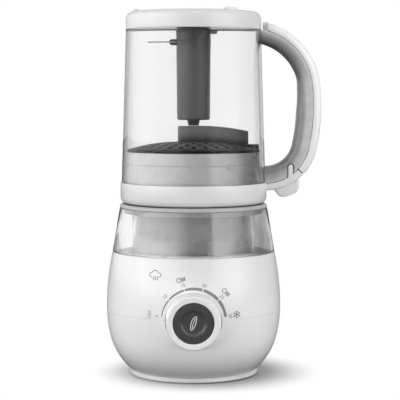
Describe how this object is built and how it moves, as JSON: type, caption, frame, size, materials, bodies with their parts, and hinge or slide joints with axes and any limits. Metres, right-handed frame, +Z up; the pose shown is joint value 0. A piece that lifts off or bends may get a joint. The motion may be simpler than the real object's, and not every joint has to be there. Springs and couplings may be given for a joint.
{
  "type": "baby food maker",
  "caption": "Round white baby food steamer and blender: clear handled jar upside down on its lid, over a clear water tank and a base with a timer dial.",
  "frame": {"origin": "on the table, under the middle of the base", "axes": "+Z up along the axis of base and jar, -Y towards the dial, +X towards the handle"},
  "size_m": [0.1844, 0.163, 0.312],
  "materials": {
    "white_plastic": "satin white moulding",
    "grey_plastic": "mid grey moulding",
    "pale_plastic": "pale grey moulding",
    "dark_plastic": "dark grey moulding",
    "clear_plastic": "clear polished moulding",
    "smoke_plastic": "clear frosted moulding",
    "steel": "brushed",
    "aluminium": "cast",
    "rubber": "matt",
    "silicone": "matt translucent",
    "copper": "wound copper",
    "carbon": "matt",
    "magnet": "sintered",
    "board": "coated",
    "bronze": "sintered"
  },
  "bodies": {
    "base": {"base_plate": "pale_plastic", "rubber_feet": "rubber", "base_screws": "steel", "lower_housing": "white_plastic", "cord_gland": "grey_plastic", "upper_housing": "white_plastic", "water_tank": "clear_plastic", "core_housing": "grey_plastic", "deck": "pale_plastic", "shaft_seal": "silicone", "steam_nozzle": "silicone", "motor_mount": "grey_plastic", "motor_can": "steel", "motor_end_cap": "dark_plastic", "carbon_brushes": "carbon", "motor_bearings": "bronze", "motor_magnets": "magnet", "boiler_body": "aluminium", "boiler_cover": "aluminium", "heating_element": "steel", "thermostat": "steel", "feed_hose": "silicone", "steam_pipe": "silicone", "dial_guide": "grey_plastic", "control_board": "board", "blend_switch": "dark_plastic", "board_components": "dark_plastic"},
    "rotor": {"motor_shaft": "steel", "armature": "copper", "commutator": "copper", "cooling_fan": "dark_plastic", "drive_coupling": "dark_plastic"},
    "dial": {"dial": "white_plastic"},
    "button": {"blend_button": "dark_plastic", "button_plunger": "white_plastic"},
    "jar": {"jar": "clear_plastic", "jar_cap": "white_plastic", "handle_grip": "smoke_plastic", "handle_cover": "white_plastic", "spindle_bush": "bronze", "spindle_seal": "silicone"},
    "blade": {"blade_hub": "dark_plastic", "blade_carriers": "dark_plastic", "lower_blade": "steel", "upper_blade": "steel", "blade_spindle": "steel", "driven_coupling": "dark_plastic"},
    "lid": {"jar_lid": "white_plastic", "lid_collar": "grey_plastic", "lid_seal": "silicone", "strainer": "dark_plastic", "steam_hood": "dark_plastic", "steam_inlet": "grey_plastic"},
    "interlock": {"interlock_rod": "white_plastic"}
  },
  "joints": [
    {"name": "rotor_spin", "type": "hinge", "parent": "base", "child": "rotor", "pos_m": [0, 0, 0.06], "axis": [0, 0, 1], "continuous": true},
    {"name": "dial_turn", "type": "hinge", "parent": "base", "child": "dial", "pos_m": [0, -0.078, 0.056], "axis": [0, 1, 0], "range_deg": [0, 173]},
    {"name": "button_press", "type": "slide", "parent": "base", "child": "button", "axis": [0, 1, 0], "range_m": [0, 0.0025], "stiffness_N_per_m": 900, "springref_m": -0.002},
    {"name": "jar_lift", "type": "slide", "parent": "base", "child": "jar", "axis": [0, 0, 1], "range_m": [0, 0.06]},
    {"name": "lid_turn", "type": "hinge", "parent": "jar", "child": "lid", "pos_m": [0, 0, 0.16], "axis": [0, 0, 1], "range_deg": [-25, 0]},
    {"name": "interlock_slide", "type": "slide", "parent": "jar", "child": "interlock", "axis": [0, 0, 1], "range_m": [-0.003, 0]},
    {"name": "blade_spin", "type": "hinge", "parent": "jar", "child": "blade", "pos_m": [0, 0, 0.25], "axis": [0, 0, 1], "continuous": true}
  ],
  "couplings": [
    {"joint": "interlock_slide", "follows": "lid_turn", "m_per_rad": 0.00687}
  ]
}
